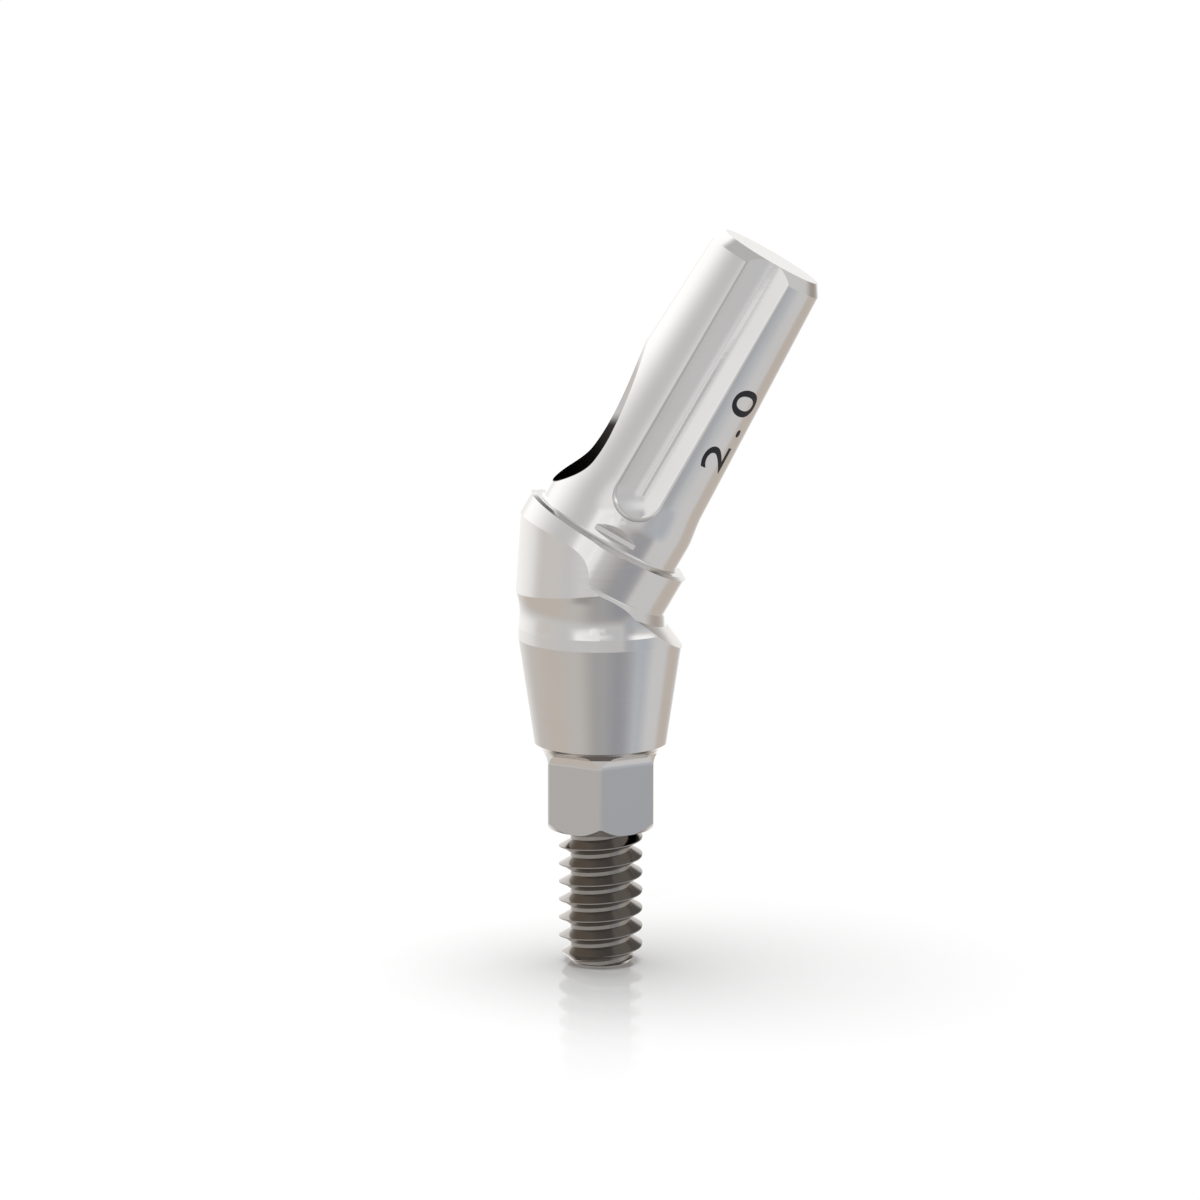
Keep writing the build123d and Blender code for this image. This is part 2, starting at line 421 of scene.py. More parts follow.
def upright_blank(surfaces):
    """Hexagon's stock, cone, rim and waisted neck in one turning, with stock above the neck."""
    end_rise = (HEX_STOCK_RADIUS - HEX_END_RADIUS) / math.tan(math.radians(HEX_END_ANGLE))
    cone_end = RIM_RADIUS - CONE_LENGTH * math.tan(math.radians(CONE_HALF_ANGLE))
    rise = RIM_RADIUS - WAIST_RADIUS
    reach = WAIST_HEIGHT - RIM_HEIGHT
    rim_arc_radius = (rise**2 + reach**2) / (2 * rise)
    rim_turn = math.degrees(math.asin(reach / rim_arc_radius))
    rim_centre = (WAIST_RADIUS + rim_arc_radius, WAIST_HEIGHT)
    flare_turn = math.degrees(math.asin(NECK_FLARE_REACH / NECK_FLARE_RADIUS))
    flare = arc((WAIST_RADIUS + NECK_FLARE_RADIUS, WAIST_HEIGHT), NECK_FLARE_RADIUS, 180, -flare_turn)
    stock_radius = WALL_RADIUS + SPARE
    top = SHOULDER.z + COLLAR_RADIUS + SPARE
    return turned(
        "upright_blank",
        [
            line(
                (0, HEX_END),
                (HEX_END_RADIUS, HEX_END),
                (HEX_STOCK_RADIUS, HEX_END + end_rise),
                (HEX_STOCK_RADIUS, HEX_STOCK_TOP),
                (cone_end - CONE_EDGE_CHAMFER, -CONE_LENGTH - CONE_EDGE_CHAMFER),
                (cone_end, -CONE_LENGTH),
                (RIM_RADIUS, 0),
                (RIM_RADIUS, RIM_HEIGHT),
            ),
            arc(rim_centre, rim_arc_radius, 180 + rim_turn, -rim_turn),
            flare,
            line(flare[0][-1], (stock_radius, flare[0][-1][1]), (stock_radius, top), (0, top)),
        ],
        surfaces,
    )


def hexagon_cutters(surfaces):
    """Sweeps of a round-cornered milling cutter along the six flats of the hexagon."""
    face = HEX_ACROSS_FLATS / 2
    top = HEX_FACE_TOP + HEX_ROOT_RADIUS
    corner, centre = arc((face + HEX_ROOT_RADIUS, HEX_FACE_TOP), HEX_ROOT_RADIUS, 180, -90)
    outline = [(face, HEX_END - SPARE)] + corner + [(face + SPARE, top), (face + SPARE, HEX_END - SPARE)]
    made = []
    for i in range(6):
        turn = math.radians(60 * i)
        out = Vector((math.cos(turn), math.sin(turn), 0))
        side = Vector((-math.sin(turn), math.cos(turn), 0))
        start = side * HEX_STOCK_RADIUS
        made.append(prism(f"flat_cutter_{i}", outline, start, out, Z_AXIS, 2 * HEX_STOCK_RADIUS))
        middle = out * centre[0] + Z_AXIS * centre[1]
        surfaces.append(Surface(middle, side, (HEX_ROOT_RADIUS, -SPARE), (HEX_ROOT_RADIUS, SPARE)))
    return made


def upper_wall(surfaces):
    """Leaning cylinder that bounds the body above the neck."""
    slope = math.radians(WALL_LEAN)
    reach = WALL_OFFSET_HEIGHT + CONE_LENGTH + WALL_RADIUS + SPARE
    return turned(
        "upper_wall",
        [line((0, -reach), (WALL_RADIUS, -reach), (WALL_RADIUS, reach), (0, reach))],
        surfaces,
        Vector((WALL_OFFSET, 0, WALL_OFFSET_HEIGHT)),
        Vector((math.sin(slope), 0, math.cos(slope))),
    )


def collar_envelope(surfaces):
    """What the cut about the post's axis leaves: the collar, and all that lies under its flare."""
    far = COLLAR_RADIUS + WALL_RADIUS + SPARE
    far_drop = FLARE_DROP + (far - FLARE_RADIUS) * math.tan(math.radians(FLARE_ANGLE))
    bottom = SHOULDER.z + CONE_LENGTH + far
    turn = math.atan2(FLARE_RADIUS - COLLAR_RADIUS, FLARE_DROP - COLLAR_LENGTH)
    setback = COLLAR_ROOT_RADIUS * math.tan(turn / 2)
    root_centre = (COLLAR_RADIUS + COLLAR_ROOT_RADIUS, -COLLAR_LENGTH + setback)
    root = arc(root_centre, COLLAR_ROOT_RADIUS, 180, math.degrees(turn))
    return turned(
        "collar_envelope",
        [
            line((0, 0), (COLLAR_RADIUS - LIP_WIDTH, 0), (COLLAR_RADIUS, -LIP_DROP), root[0][0]),
            root,
            line(
                root[0][-1],
                (FLARE_RADIUS, -FLARE_DROP),
                (far, -far_drop),
                (far, -bottom),
                (0, -bottom),
            ),
        ],
        surfaces,
        SHOULDER,
        POST_DIRECTION,
    )


def post(surfaces):
    """Post turned about its own axis: foot, short step, long cone and chamfered flat top."""
    foot = arc((FOOT_RADIUS + FOOT_FILLET, FOOT_FILLET), FOOT_FILLET, 270, -90)
    slope = math.radians(POST_HALF_ANGLE)
    step = blend_curve(
        (FOOT_RADIUS, FOOT_LENGTH),
        (CONE_FOOT_RADIUS, POST_CONE_START),
        (0, 1),
        (-math.sin(slope), math.cos(slope)),
    )
    chamfer_foot = POST_LENGTH - TOP_CHAMFER_LENGTH
    chamfer_radius = post_radius(chamfer_foot)
    top_radius = chamfer_radius - TOP_CHAMFER_LENGTH * math.tan(math.radians(TOP_CHAMFER_ANGLE))
    return turned(
        "post",
        [
            foot,
            line(foot[0][-1], step[0]),
            line(*step),
            line(
                step[-1],
                (chamfer_radius, chamfer_foot),
                (top_radius, POST_LENGTH),
                (0, POST_LENGTH),
                (0, -COLLAR_LENGTH / 2),
                (FOOT_RADIUS + FOOT_FILLET, -COLLAR_LENGTH / 2),
                foot[0][0],
            ),
        ],
        surfaces,
        SHOULDER,
        POST_DIRECTION,
    )


def groove_section():
    """Right half of the groove's cutter section, from its deepest point to its outer corner."""
    half = GROOVE_WIDTH / 2
    floor_centre = GROOVE_DEPTH - GROOVE_FLOOR_RADIUS
    corner_x = half - GROOVE_CORNER_RADIUS
    reach = GROOVE_FLOOR_RADIUS - GROOVE_CORNER_RADIUS
    corner_y = floor_centre + math.sqrt(reach**2 - corner_x**2)
    turn = math.degrees(math.atan2(corner_x, corner_y - floor_centre))
    floor = arc((0, floor_centre), GROOVE_FLOOR_RADIUS, 90, -turn)
    corner = arc((corner_x, corner_y), GROOVE_CORNER_RADIUS, 90 - turn, turn - 90)
    return floor, corner, (half, GROOVE_DEPTH - 2 * SPARE)


def groove_cutters(surfaces):
    """The run of the groove's cutter along the front of the post, and the round end of it."""
    floor, corner, outer = groove_section()
    end_height = GROOVE_START + GROOVE_WIDTH / 2
    slope = math.radians(POST_HALF_ANGLE)
    deep = Vector((0, 1, 0))
    along = POST_DIRECTION * math.cos(slope) + deep * math.sin(slope)
    inward = deep * math.cos(slope) - POST_DIRECTION * math.sin(slope)
    centre = SHOULDER + POST_DIRECTION * end_height - deep * post_radius(end_height)
    right = floor[0] + corner[0][1:] + [outer]
    left = [(-x, y) for x, y in reversed(right) if x > SMALL]
    length = POST_LENGTH + SPARE - end_height
    sign = 1 if POST_ACROSS.cross(inward).dot(along) > 0 else -1
    run = prism("groove_run", left + right, centre, POST_ACROSS, inward, sign * length)
    for points, middle in (floor, corner):
        radius = math.dist(points[0], middle)
        for side in (1, -1):
            place = centre + POST_ACROSS * middle[0] * side + inward * middle[1]
            surfaces.append(Surface(place, along, (radius, -SPARE), (radius, length)))
    end = turned(
        "groove_end",
        [floor, corner, line(corner[0][-1], outer, (0, outer[1]))],
        surfaces,
        centre,
        inward,
        POST_ACROSS,
    )
    return run, end


def notch_cutter():
    """Four-sided bar across the front of the post's foot, with its narrow flat inwards."""
    depth = FOOT_RADIUS - math.sqrt(FOOT_RADIUS**2 - (NOTCH_LENGTH / 2) ** 2)
    growth = (depth + SPARE) / depth
    inner = FOOT_RADIUS - depth
    outer = FOOT_RADIUS + SPARE
    outline = [
        (inner, 0),
        (outer, NOTCH_UPPER_SIDE * growth),
        (outer, -NOTCH_FLOOR - NOTCH_LOWER_SIDE * growth),
        (inner, -NOTCH_FLOOR),
    ]
    front = Vector((0, -1, 0))
    sideways = front.cross(POST_DIRECTION)
    origin = SHOULDER + POST_DIRECTION * NOTCH_HEIGHT - sideways * NOTCH_LENGTH
    return prism("notch_cutter", outline, origin, front, POST_DIRECTION, 2 * NOTCH_LENGTH)


def screw_channel(surfaces):
    """Screw channel: wide for the head, a conical seat, and a closer bore down to the hexagon."""
    seat_drop = CHANNEL_RADIUS - BORE_RADIUS
    top = SHOULDER.z + POST_LENGTH + SPARE
    return turned(
        "screw_channel",
        [
            line(
                (0, HEX_END - SPARE),
                (BORE_RADIUS, HEX_END - SPARE),
                (BORE_RADIUS, SEAT_HEIGHT - seat_drop),
                (CHANNEL_RADIUS, SEAT_HEIGHT),
                (CHANNEL_RADIUS, top),
                (0, top),
            )
        ],
        surfaces,
    )


def make_body():
    """The machined body as one fine mesh."""
    surfaces = []
    body = upright_blank(surfaces)
    combine(body, "DIFFERENCE", *hexagon_cutters(surfaces))
    combine(body, "INTERSECT", upper_wall(surfaces), collar_envelope(surfaces))
    combine(body, "UNION", post(surfaces))
    run, end = groove_cutters(surfaces)
    flip = (1, -1, 1)
    back = [Surface(s.origin * flip, s.axis * flip, s.start, s.end, s.centre) for s in surfaces]
    cutters = [run, end, notch_cutter()]
    cutters += [mirrored(cutter, cutter.name + "_back") for cutter in cutters]
    combine(body, "DIFFERENCE", *cutters, screw_channel(surfaces))
    body.name = "abutment_body_fine"
    set_normals(body, surfaces + back)
    return to_metres(body)


def thread_ridge(surfaces):
    """Ridge of the thread as a helical bar, longer than the threaded length at both ends."""
    flank = math.tan(math.radians(THREAD_FLANK_ANGLE))
    crest = THREAD_CREST_WIDTH / 2
    inner = THREAD_CORE_RADIUS - RIDGE_OVERLAP
    root = crest + (THREAD_RADIUS - inner) * flank
    below = math.ceil((THREAD_CREST_HEIGHT - SCREW_TIP) / THREAD_PITCH) + 1
    above = math.ceil((THREAD_TOP - THREAD_CREST_HEIGHT) / THREAD_PITCH) + 1
    start = THREAD_CREST_HEIGHT - below * THREAD_PITCH
    section = [(inner, -root), (THREAD_RADIUS, -crest), (THREAD_RADIUS, crest), (inner, root)]
    vertices, faces = [], []
    steps = (below + above) * TURN_STEPS // 2
    for i in range(steps + 1):
        turn = 4 * math.pi * i / TURN_STEPS
        climb = start + THREAD_PITCH * 2 * i / TURN_STEPS
        for radius, height in section:
            vertices.append((radius * math.cos(turn), radius * math.sin(turn), climb + height))
    for i in range(steps):
        low, high = 4 * i, 4 * i + 4
        faces += [[low + k, low + (k + 1) % 4, high + (k + 1) % 4, high + k] for k in range(4)]
    faces += [[0, 1, 2, 3], [4 * steps + k for k in range(4)]]
    at_axis = crest + THREAD_RADIUS * flank
    surfaces.append(Flank(THREAD_CREST_HEIGHT + at_axis, -flank))
    surfaces.append(Flank(THREAD_CREST_HEIGHT - at_axis, flank))
    return outward(mesh_object("thread_ridge", vertices, faces))


def make_screw():
    """The screw as one fine mesh: head, socket, shank, thread and tip."""
    surfaces = []
    tip_rise = (THREAD_RADIUS - TIP_RADIUS) / math.tan(math.radians(TIP_ANGLE))
    core_rise = (THREAD_CORE_RADIUS - TIP_RADIUS) / math.tan(math.radians(TIP_ANGLE))
    core_top = THREAD_TOP - CORE_STEP
    envelope = turned(
        "thread_envelope",
        [
            line(
                (0, SCREW_TIP),
                (TIP_RADIUS, SCREW_TIP),
                (THREAD_RADIUS, SCREW_TIP + tip_rise),
                (THREAD_RADIUS, THREAD_TOP - THREAD_RUNOUT),
                (THREAD_CORE_RADIUS, THREAD_TOP),
                (0, THREAD_TOP),
            )
        ],
        surfaces,
    )
    ridge = combine(thread_ridge(surfaces), "INTERSECT", envelope)
    underside_top = SEAT_HEIGHT + SEAT_CLEARANCE - HEAD_CLEARANCE
    head_top = underside_top + HEAD_LENGTH
    screw = turned(
        "abutment_screw_fine",
        [
            line(
                (0, SCREW_TIP),
                (TIP_RADIUS, SCREW_TIP),
                (THREAD_CORE_RADIUS, SCREW_TIP + core_rise),
                (THREAD_CORE_RADIUS, core_top),
                (SHANK_RADIUS, core_top),
                (SHANK_RADIUS, underside_top - (HEAD_RADIUS - SHANK_RADIUS)),
                (HEAD_RADIUS, underside_top),
                (HEAD_RADIUS, head_top - HEAD_CHAMFER),
                (HEAD_RADIUS - HEAD_CHAMFER, head_top),
                (0, head_top),
            )
        ],
        surfaces,
    )
    combine(screw, "UNION", ridge)
    circle = SOCKET_ACROSS_FLATS / 2 / math.cos(math.pi / 6)
    outline = [(circle * math.cos(k * math.pi / 3), circle * math.sin(k * math.pi / 3)) for k in range(6)]
    floor = Vector((0, 0, head_top - SOCKET_DEPTH))
    socket = prism("socket", outline, floor, (1, 0, 0), (0, 1, 0), SOCKET_DEPTH + SPARE)
    combine(screw, "DIFFERENCE", socket)
    set_normals(screw, surfaces)
    return to_metres(screw)


def make_mark():
    """Plain number marked on the post beside its groove, following the round of the post."""
    curve = bpy.data.curves.new("mark", "FONT")
    curve.body = MARK_TEXT
    curve.size = 1
    curve.extrude = SPARE / 2
    curve.offset = MARK_STROKE
    curve.space_character = MARK_SPACING
    text = bpy.data.objects.new("mark_text", curve)
    bpy.context.scene.collection.objects.link(text)
    depsgraph = bpy.context.evaluated_depsgraph_get()
    mesh = bpy.data.meshes.new_from_object(text.evaluated_get(depsgraph))
    bpy.data.objects.remove(text)
    places = np.array([v.co for v in mesh.vertices])
    low, high = places.min(axis=0), places.max(axis=0)
    azimuth = math.radians(MARK_AZIMUTH)
    out = POST_ACROSS * math.sin(azimuth) - Vector((0, 1, 0)) * math.cos(azimuth)
    up = POST_DIRECTION.cross(out)
    up = up if up.dot(POST_ACROSS) < 0 else -up
    stretch_along = MARK_SPAN / (high[0] - low[0])
    stretch_up = MARK_HEIGHT / (high[1] - low[1])
    middle = (low + high) / 2
    for vertex in mesh.vertices:
        x, y, z = vertex.co
        along = POST_DIRECTION * (MARK_START + (x - low[0]) * stretch_along)
        across = up * (y - middle[1]) * stretch_up
        vertex.co = SHOULDER + along + across + out * (MARK_MIDDLE + z)
    made = bpy.data.objects.new("post_mark", mesh)
    bpy.context.scene.collection.objects.link(made)
    outward(made)
    surfaces = []
    bottom, top = POST_CONE_START, POST_LENGTH - TOP_CHAMFER_LENGTH
    skin = turned(
        "mark_skin",
        [
            line(
                (post_radius(bottom) - MARK_DEPTH, bottom),
                (post_radius(bottom) + MARK_PROUD, bottom),
                (post_radius(top) + MARK_PROUD, top),
                (post_radius(top) - MARK_DEPTH, top),
                (post_radius(bottom) - MARK_DEPTH, bottom),
            )
        ],
        surfaces,
        SHOULDER,
        POST_DIRECTION,
    )
    combine(made, "INTERSECT", skin)
    set_normals(made, surfaces)
    return to_metres(made)


def attach(tree, socket, value):
    """Links a value to a socket, or sets the socket to it."""
    if isinstance(value, bpy.types.NodeSocket):
        tree.links.new(value, socket)
    elif socket.type == "RGBA":
        socket.default_value = (*value, 1)
    else:
        socket.default_value = value


def node(tree, kind, **inputs):
    """A shader node with its input values or links."""
    made = tree.nodes.new(kind)
    for name, value in inputs.items():
        attach(tree, made.inputs[name.replace("_", " ")], value)
    return made


def new_material(name):
    """A material with an empty node tree and its output."""
    material = bpy.data.materials.new(name)
    material.use_nodes = True
    tree = material.node_tree
    tree.nodes.clear()
    return material, tree, tree.nodes.new("ShaderNodeOutputMaterial")


def maths(tree, operation, first, second=0.0):
    """Result of an operation on one or two values."""
    made = tree.nodes.new("ShaderNodeMath")
    made.operation = operation
    for socket, value in zip(made.inputs, (first, second)):
        attach(tree, socket, value)
    return made.outputs["Value"]


def product(tree, first, second):
    """Product of two values."""
    return maths(tree, "MULTIPLY", first, second)


def stepped(tree, value, start, end):
    """Smooth step of a value from 0 at start to 1 at end."""
    made = node(tree, "ShaderNodeMapRange", Value=value, From_Min=start, From_Max=end)
    made.interpolation_type = "SMOOTHSTEP"
    return made.outputs["Result"]


def window(tree, value, low, high, soft):
    """1 where a value lies between two limits and 0 elsewhere, with soft edges."""
    rise = stepped(tree, value, low - soft, low + soft)
    fall = stepped(tree, value, high + soft, high - soft)
    return product(tree, rise, fall)


def mixed(tree, factor, first, second):
    """Colour between two colours, by a factor."""
    made = tree.nodes.new("ShaderNodeMix")
    made.data_type = "RGBA"
    attach(tree, made.inputs["Factor"], factor)
    colours = [socket for socket in made.inputs if socket.type == "RGBA"]
    for socket, value in zip(colours, (first, second)):
        attach(tree, socket, value)
    return [socket for socket in made.outputs if socket.type == "RGBA"][0]


def vector_maths(tree, operation, first, second=(0, 0, 0)):
    """Outputs of an operation on one or two vectors."""
    made = tree.nodes.new("ShaderNodeVectorMath")
    made.operation = operation
    for socket, value in zip(made.inputs, (first, second)):
        attach(tree, socket, value)
    return made.outputs


def object_place(tree):
    """Place of each point in the object's own axes."""
    return tree.nodes.new("ShaderNodeTexCoord").outputs["Object"]


def from_axis(tree, place):
    """Distance of a place from the implant's axis."""
    level = vector_maths(tree, "MULTIPLY", place, (1, 1, 0))["Vector"]
    return vector_maths(tree, "LENGTH", level)["Value"]


def milled_and_shaded_zones(tree, place, tone, gloss, grain):
    """Colour, roughness and grain with the hexagon's milled faces, darkened as painted shade, and painted
    shade deep in the screw channel.
    """
    height = node(tree, "ShaderNodeSeparateXYZ", Vector=place).outputs["Z"]
    edge = HEX_FACE_TOP * MM
    milled = stepped(tree, height, edge + MILLED_BLUR * MM, edge - MILLED_BLUR * MM)
    # Painted shade: the hexagon's milled faces take a darker colour; their extra roughness and grain are
    # the milled finish.
    tone = mixed(tree, milled, tone, MILLED_SHADE_COLOUR)
    gloss = maths(tree, "ADD", gloss, product(tree, milled, MILLED_ROUGHNESS))
    grain = maths(tree, "ADD", product(tree, milled, MILLED_GRAIN - grain), grain)
    reach = (CHANNEL_RADIUS + BORE_MARGIN) * MM
    inside = stepped(tree, from_axis(tree, place), reach + BORE_BLUR * MM, reach)
    deep = stepped(tree, height, BORE_SHADE_HEIGHTS[0] * MM, BORE_SHADE_HEIGHTS[1] * MM)
    # Painted shade: the channel is painted dark below these heights, and made more matt.
    bore_shade = product(tree, inside, deep)
    tone = mixed(tree, bore_shade, tone, BORE_SHADE_COLOUR)
    gloss = maths(tree, "ADD", gloss, product(tree, bore_shade, BORE_ROUGHNESS))
    return tone, gloss, grain


def metal(name, colour, stain, roughness, spread, grain, zones=None):
    """Turned and polished metal: fine rings left by the tool, faint stains and uneven gloss."""
    material, tree, output = new_material(name)
    place = object_place(tree)
    squeezed = node(tree, "ShaderNodeMapping", Vector=place, Scale=RING_SCALE).outputs["Vector"]
    rings = node(tree, "ShaderNodeTexNoise", Vector=squeezed, Scale=1.0, Detail=RING_DETAIL)
    cloud = node(tree, "ShaderNodeTexNoise", Vector=place, Scale=CLOUD_SCALE, Detail=CLOUD_DETAIL)
    tone = mixed(tree, cloud.outputs["Fac"], colour, stain)
    gloss = node(
        tree,
        "ShaderNodeMapRange",
        Value=cloud.outputs["Fac"],
        From_Min=CLOUD_RANGE[0],
        From_Max=CLOUD_RANGE[1],
        To_Min=roughness - spread,
        To_Max=roughness + spread,
    ).outputs["Result"]
    if zones:
        tone, gloss, grain = zones(tree, place, tone, gloss, grain)
    bump = node(
        tree, "ShaderNodeBump", Height=rings.outputs["Fac"], Strength=grain, Distance=RING_DEPTH * MM
    )
    shader = node(
        tree,
        "ShaderNodeBsdfPrincipled",
        Base_Color=tone,
        Metallic=1.0,
        Roughness=gloss,
        Normal=bump.outputs["Normal"],
    )
    tree.links.new(shader.outputs["BSDF"], output.inputs["Surface"])
    return material


def cover(piece, material):
    """Gives an object one material in place of its own."""
    piece.data.materials.clear()
    piece.data.materials.append(material)


def dress(piece, material, body, slot, *nodes):
    """Gives a piece its material, body and the nodes that it stands for. The slot is not used."""
    cover(piece, material)
    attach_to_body(piece, body)
    if nodes:
        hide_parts(*nodes)


# The body's metal carries painted shade on the hexagon's milled faces and deep in the screw channel.
titanium = metal(
    "polished_titanium", (0.80, 0.79, 0.78), (0.74, 0.725, 0.71), 0.11, 0.02, 0.2, milled_and_shaded_zones
)
dark_titanium = metal("dark_titanium", (0.40, 0.375, 0.35), (0.32, 0.295, 0.27), 0.14, 0.04, 0.3)
ink = metal("laser_mark", (0.035, 0.035, 0.04), (0.06, 0.06, 0.065), 0.5, 0.05, 0.3)

dress(make_body(), titanium, "body", "polished_titanium", "abutment_body")
dress(make_screw(), dark_titanium, "screw", "dark_titanium", "abutment_screw")
dress(make_mark(), ink, "body", "dark_titanium")
cover(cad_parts["abutment_body"], titanium)
cover(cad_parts["abutment_screw"], dark_titanium)


# Light: the world's and the lamp's shares of the light on matt things, and how wide the lamp
# looks and leans, in degrees
WORLD_LIGHT = 0.3
LAMP_LIGHT = 0.76
LAMP_WIDTH = 42.0
LAMP_LEAN = (0.0, -5.0)

# Floor: half its width, how far it lies under the screw's tip, its colour, the light of its own
# that brings it to white, and the reach, strength and roughness of the mirror image in it
FLOOR_HALF = 600.0
FLOOR_GAP = 0.01
FLOOR_COLOUR = (0.92, 0.92, 0.92)
FLOOR_LIFT = 0.04
MIRROR_REACH = 10.5
MIRROR_STRENGTH = 0.22
MIRROR_ROUGHNESS = 0.07

# Light tent: its size and mesh, its ground colour, and panels as azimuth from, to and softness,
# elevation from, to and softness, all in degrees, and colour. Azimuth 0 is the camera's side and 90
# is +X. Later panels cover earlier ones.
TENT_RADIUS = 500.0
TENT_ROWS = 24
TENT_COLUMNS = 48
TENT_COLOUR = (0.66, 0.66, 0.665)
TENT_PANELS = [
    (-200, 200, 1, -95, -19, 7, 0.625, 0.57, 0.515),
    (-62, -20, 12, -95, -19, 7, 0.60, 0.575, 0.55),
    (-200, -95, 38, 5, 95, 8, 1.28, 1.28, 1.28),
    (-200, -105, 40, -14, 5, 7, 1.10, 1.085, 1.065),
    (-100, -62, 12, -14, 6, 6, 0.70, 0.67, 0.64),
    (-200, -147, 22, -38, -18, 8, 1.00, 0.98, 0.95),
    (-38, -8, 12, -7, 60, 4, 0.92, 0.92, 0.925),
    (-36, -1.5, 5, -1, 13, 4, 1.08, 1.08, 1.08),
    (-14, -6, 4, -8, 4, 3, 1.20, 1.20, 1.20),
    (-12, -1.5, 1.5, -7, 60, 4, 0.96, 0.96, 0.96),
    (-22, 54, 18, -95, -16, 9, 0.43, 0.425, 0.43),
    (14, 50, 12, -95, -24, 7, 0.36, 0.365, 0.395),
    (-1.2, 27, 1.5, -7, 60, 5, 0.62, 0.62, 0.635),
    (-0.5, 2.5, 0.8, -5, 60, 5, 0.54, 0.54, 0.55),
    (-4, 6.5, 1.5, -8, -2, 2, 0.85, 0.85, 0.86),
    (-24, 10, 14, 1, 9, 3, 0.95, 0.95, 0.96),
    (33, 49, 5, -24, 60, 8, 0.50, 0.505, 0.53),
    (56, 112, 6, -95, 60, 8, 0.69, 0.69, 0.695),
    (46, 76, 12, -30, -6, 7, 0.50, 0.53, 0.575),
    (116, 146, 10, -60, 60, 8, 0.60, 0.54, 0.49),
    (42, 80, 10, 2, 12, 4, 1.20, 1.20, 1.20),
    (158, 200, 8, -34, 95, 8, 1.20, 1.19, 1.18),
    (-200, -166, 8, -34, 95, 8, 1.25, 1.24, 1.23),
    (156, 200, 5, -8, 14, 3, 0.97, 0.955, 0.94),
    (120, 148, 12, -6, 20, 7, 0.38, 0.35, 0.32),
    (-200, 200, 1, 56, 95, 8, 0.56, 0.56, 0.56),
    (124, 180, 9, 20, 58, 5, 0.17, 0.17, 0.17),
    (-50, -14, 12, -95, -50, 7, 0.38, 0.37, 0.36),
    (-200, -135, 14, -95, -42, 6, 0.11, 0.10, 0.09),
    (135, 200, 14, -95, -42, 6, 0.11, 0.10, 0.09),
    (-200, 200, 1, -95, -70, 6, 0.14, 0.12, 0.11),
]

# Camera: fitted to the photograph
CAMERA_ELEVATION = math.radians(10.65)
CAMERA_DISTANCE = 105.6 * MM
CAMERA_TARGET = Vector((-0.0122 * MM, 0, 0.708 * MM))
SENSOR = 36.0
FOCAL_PIXELS = 5577.0
IMAGE_PIXELS = 1200.0
CLIP_START = 10.0
CLIP_END = 10000.0


def make_camera():
    """The photograph's camera."""
    data = bpy.data.cameras.new("camera")
    camera = bpy.data.objects.new("camera", data)
    bpy.context.scene.collection.objects.link(camera)
    back = Vector((0, -math.cos(CAMERA_ELEVATION), math.sin(CAMERA_ELEVATION)))
    camera.location = CAMERA_TARGET + back * CAMERA_DISTANCE
    camera.rotation_euler = (-back).to_track_quat("-Z", "Y").to_euler()
    data.sensor_width = SENSOR
    data.lens = FOCAL_PIXELS / IMAGE_PIXELS * SENSOR
    data.clip_start = CLIP_START * MM
    data.clip_end = CLIP_END * MM
    bpy.context.scene.camera = camera


def seen_directly(tree):
    """1 for rays from the camera and for those mirrored or refracted by things, 0 for the rest."""
    path = tree.nodes.new("ShaderNodeLightPath").outputs
    seen = maths(tree, "MAXIMUM", path["Is Camera Ray"], path["Is Glossy Ray"])
    return maths(tree, "MAXIMUM", seen, path["Is Transmission Ray"])


def make_floor():
    """Pale floor that shows white, keeps the object's shadow and mirrors it faintly at its foot."""
    half = FLOOR_HALF * MM
    height = (SCREW_TIP - FLOOR_GAP) * MM
    corners = [(-half, -half, height), (half, -half, height), (half, half, height), (-half, half, height)]
    floor = mesh_object("floor", corners, [[0, 1, 2, 3]])
    material, tree, output = new_material("floor_white")
    near = stepped(tree, from_axis(tree, object_place(tree)), MIRROR_REACH * MM, 0.0)
    matt = node(tree, "ShaderNodeBsdfDiffuse", Color=FLOOR_COLOUR)
    glow = node(tree, "ShaderNodeEmission", Strength=product(tree, seen_directly(tree), FLOOR_LIFT))
    both = tree.nodes.new("ShaderNodeAddShader")
    tree.links.new(matt.outputs["BSDF"], both.inputs[0])
    tree.links.new(glow.outputs["Emission"], both.inputs[1])
    mirror = node(tree, "ShaderNodeBsdfGlossy", Roughness=MIRROR_ROUGHNESS)
    mix = node(tree, "ShaderNodeMixShader", Fac=product(tree, near, MIRROR_STRENGTH))
    tree.links.new(both.outputs["Shader"], mix.inputs[1])
    tree.links.new(mirror.outputs["BSDF"], mix.inputs[2])
    tree.links.new(mix.outputs["Shader"], output.inputs["Surface"])
    floor.data.materials.append(material)
    floor.visible_glossy = False


def tent_mesh():
    """Ball round the object, for the light tent."""
    vertices, faces = [], []
    for i in range(TENT_ROWS + 1):
        climb = math.pi * (i / TENT_ROWS - 0.5)
        for j in range(TENT_COLUMNS):
            turn = 2 * math.pi * j / TENT_COLUMNS
            level = Vector((math.sin(turn), -math.cos(turn), 0)) * math.cos(climb)
            vertices.append((level + Z_AXIS * math.sin(climb)) * TENT_RADIUS * MM)
    for i in range(TENT_ROWS):
        low, high = i * TENT_COLUMNS, (i + 1) * TENT_COLUMNS
        for j in range(TENT_COLUMNS):
            after = (j + 1) % TENT_COLUMNS
            faces.append([low + j, low + after, high + after, high + j])
    return mesh_object("light_tent", vertices, faces)


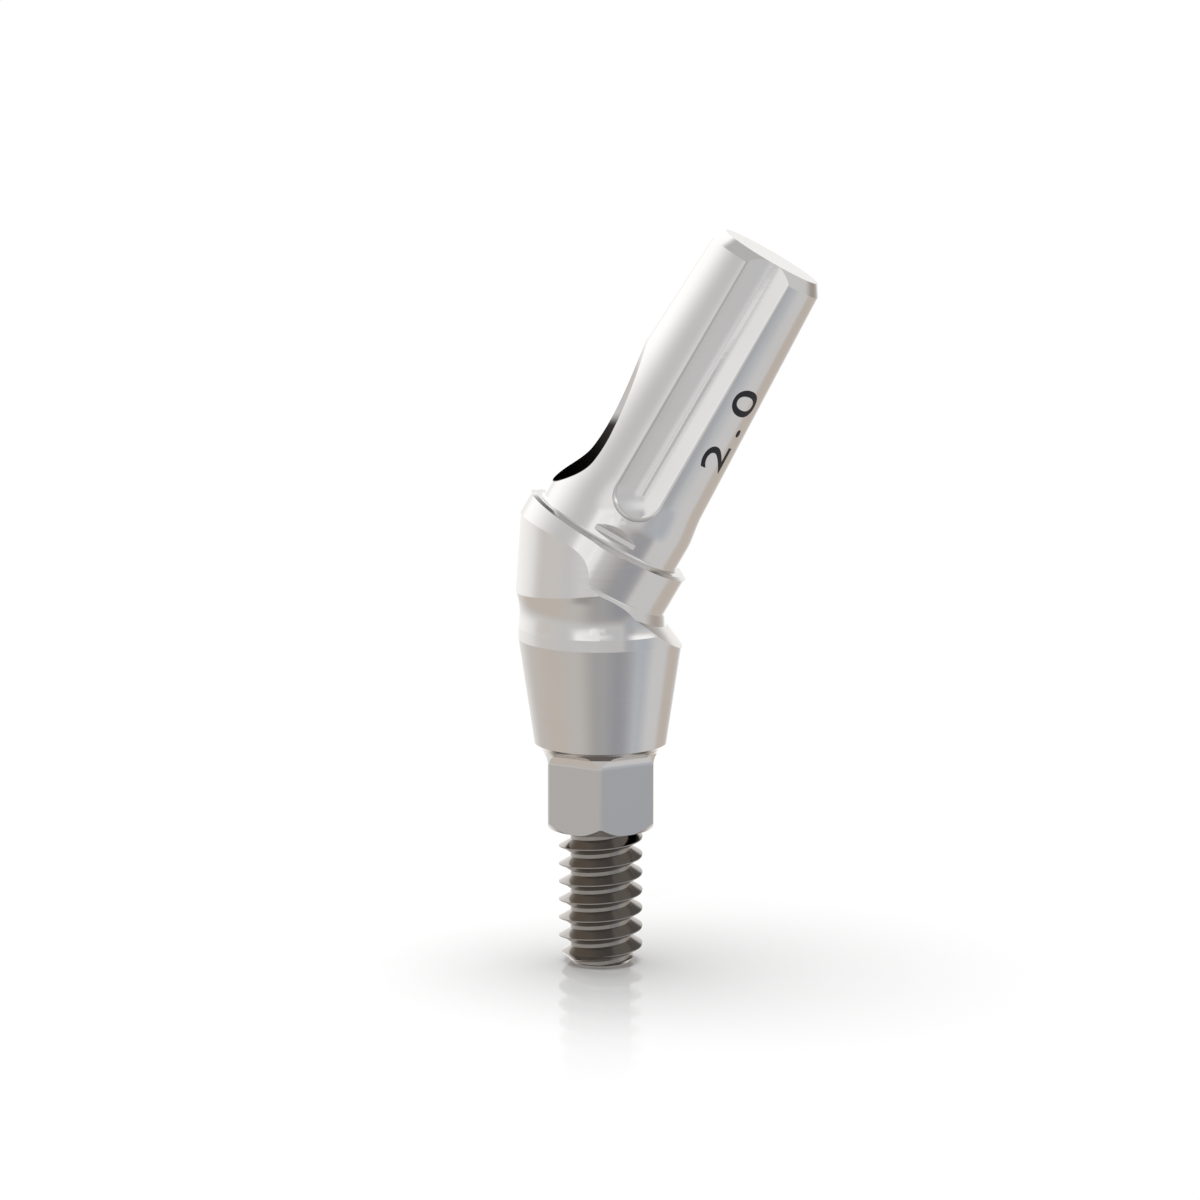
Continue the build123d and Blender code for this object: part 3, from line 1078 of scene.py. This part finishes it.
def tent_material():
    """Glow in the colour of the panel that lies in each direction."""
    material, tree, output = new_material("tent_panels")
    direction = vector_maths(tree, "NORMALIZE", object_place(tree))["Vector"]
    parts = node(tree, "ShaderNodeSeparateXYZ", Vector=direction).outputs
    front = product(tree, parts["Y"], -1.0)
    azimuth = product(tree, maths(tree, "ARCTAN2", parts["X"], front), 180 / math.pi)
    climb = product(tree, maths(tree, "ARCSINE", parts["Z"]), 180 / math.pi)
    colour = TENT_COLOUR
    for turn_low, turn_high, turn_soft, low, high, soft, *panel in TENT_PANELS:
        across = window(tree, azimuth, turn_low, turn_high, turn_soft)
        upright = window(tree, climb, low, high, soft)
        colour = mixed(tree, product(tree, across, upright), colour, panel)
    glow = node(tree, "ShaderNodeEmission", Color=colour, Strength=1.0)
    tree.links.new(glow.outputs["Emission"], output.inputs["Surface"])
    material.cycles.emission_sampling = "NONE"
    return material


def make_tent():
    """Light tent that only the metal mirrors: soft white, grey, warm and cool panels."""
    tent = tent_mesh()
    tent.data.materials.append(tent_material())
    tent.visible_camera = False
    tent.visible_diffuse = False
    tent.visible_transmission = False
    tent.visible_shadow = False


def make_lamp():
    """Soft overhead lamp, for the round shadow under the object."""
    data = bpy.data.lights.new("overhead", "SUN")
    data.energy = LAMP_LIGHT * math.pi
    data.angle = math.radians(LAMP_WIDTH)
    lamp = bpy.data.objects.new("overhead", data)
    bpy.context.scene.collection.objects.link(lamp)
    lamp.rotation_euler = (math.radians(LAMP_LEAN[1]), math.radians(LAMP_LEAN[0]), 0)
    lamp.visible_glossy = False


def make_world():
    """Plain white surroundings for the eye and for metal, and a share of that as light on matt things."""
    world = bpy.data.worlds.new("studio")
    bpy.context.scene.world = world
    world.use_nodes = True
    tree = world.node_tree
    tree.nodes.clear()
    output = tree.nodes.new("ShaderNodeOutputWorld")
    strength = maths(tree, "ADD", product(tree, seen_directly(tree), 1 - WORLD_LIGHT), WORLD_LIGHT)
    background = node(tree, "ShaderNodeBackground", Color=(1, 1, 1), Strength=strength)
    tree.links.new(background.outputs["Background"], output.inputs["Surface"])


make_camera()
make_floor()
make_tent()
make_lamp()
make_world()

bpy.context.scene.view_settings.view_transform = "Standard"
